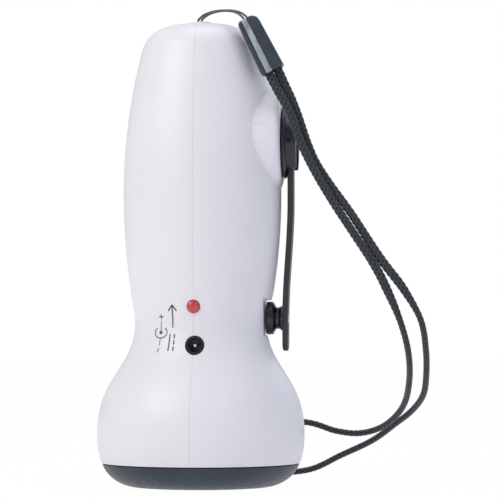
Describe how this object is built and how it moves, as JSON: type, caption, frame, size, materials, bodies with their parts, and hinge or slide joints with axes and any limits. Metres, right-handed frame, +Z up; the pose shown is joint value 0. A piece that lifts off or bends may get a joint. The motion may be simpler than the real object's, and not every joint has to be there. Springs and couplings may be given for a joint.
{
  "type": "hand crank flashlight",
  "caption": "Hand crank flashlight standing on its lens, with a fold-out crank on a side boss, a charging socket and light on the seam, and a wrist strap.",
  "frame": {"origin": "middle of the flat ring that the bezel stands on, on the torch's own axis", "axes": "+Z up along the torch from lens to crown, +X to the crank's side, -Y to the side with the charge light and socket"},
  "size_m": [0.1061, 0.0867, 0.1519],
  "materials": {
    "white_abs": "glossy moulded white with a faint cool cast",
    "grey_abs": "satin slate grey",
    "black_abs": "fine satin black",
    "black_gloss": "glossy black",
    "clear_plastic": "clear polished plastic",
    "red_lens": "red translucent, domed",
    "seal_rubber": "matte black",
    "plating": "vacuum-plated mirror",
    "board": "green laminate",
    "cell_sleeve": "steel cell in a green sleeve",
    "capacitor_sleeve": "aluminium can in a dark sleeve",
    "acetal": "natural acetal",
    "steel": "zinc-plated steel",
    "brass": "bright brass",
    "magnet": "sintered ferrite",
    "copper_wire": "enamelled copper winding",
    "dark_nylon": "dark satin nylon",
    "light_nylon": "light grey satin nylon",
    "strap_weave": "round braided cord, dark grey"
  },
  "bodies": {
    "torch": {"crank_side_shell": "white_abs", "plain_side_shell": "white_abs", "bezel_ring": "grey_abs", "dc_jack": "black_abs", "charge_light_holder": "black_abs", "cell_cradle": "black_abs", "switch_body": "black_abs", "lens": "clear_plastic", "white_led_1": "clear_plastic", "white_led_2": "clear_plastic", "white_led_3": "clear_plastic", "charge_light": "red_lens", "lens_seal": "seal_rubber", "reflector": "plating", "led_board": "board", "main_board": "board", "battery_cell_1": "cell_sleeve", "battery_cell_2": "cell_sleeve", "battery_cell_3": "cell_sleeve", "capacitor": "capacitor_sleeve", "crank_bush": "acetal", "gear_plate": "steel", "plate_screw_1": "steel", "plate_screw_2": "steel", "plate_screw_3": "steel", "shell_screw_1": "steel", "shell_screw_2": "steel", "shell_screw_3": "steel", "shell_screw_4": "steel", "idler_pin": "steel", "strap_pin": "steel", "generator_can": "steel", "generator_cap": "brass", "dc_jack_pin": "brass", "generator_coil": "copper_wire", "strap_clamp_body": "dark_nylon", "strap_clamp_insert": "light_nylon", "strap_string": "strap_weave", "strap_cord": "strap_weave"},
    "crank": {"crank_hub": "black_abs", "hinge_pin": "steel", "drive_gear": "acetal", "spindle_clip": "steel"},
    "arm": {"crank_arm": "black_abs", "knob_rivet": "steel"},
    "knob": {"crank_knob": "black_gloss"},
    "idler": {"idler_gear": "acetal"},
    "rotor": {"rotor_magnet": "magnet", "rotor_shaft": "steel", "rotor_pinion": "brass"},
    "switch": {"switch_slider": "grey_abs"}
  },
  "joints": [
    {"name": "crank_spin", "type": "hinge", "parent": "torch", "child": "crank", "pos_m": [0, 0, 0.1095], "axis": [1, 0, 0], "continuous": true, "deforming": ["strap_cord"]},
    {"name": "crank_fold", "type": "hinge", "parent": "crank", "child": "arm", "pos_m": [0.0289, 0, 0.1095], "axis": [0, -1, 0], "range_deg": [0, 180]},
    {"name": "knob_spin", "type": "hinge", "parent": "arm", "child": "knob", "pos_m": [0.0235, 0, 0.0535], "axis": [1, 0, 0], "continuous": true},
    {"name": "switch_slide", "type": "slide", "parent": "torch", "child": "switch", "axis": [0, 0, -1], "range_m": [0, 0.004]},
    {"name": "idler_spin", "type": "hinge", "parent": "torch", "child": "idler", "pos_m": [0, 0, 0.09325], "axis": [1, 0, 0], "continuous": true},
    {"name": "rotor_spin", "type": "hinge", "parent": "torch", "child": "rotor", "pos_m": [0, 0.00801, 0.10549], "axis": [1, 0, 0], "continuous": true}
  ],
  "couplings": [
    {"joint": "idler_spin", "follows": "crank_spin", "ratio": -4},
    {"joint": "rotor_spin", "follows": "crank_spin", "ratio": 16}
  ]
}
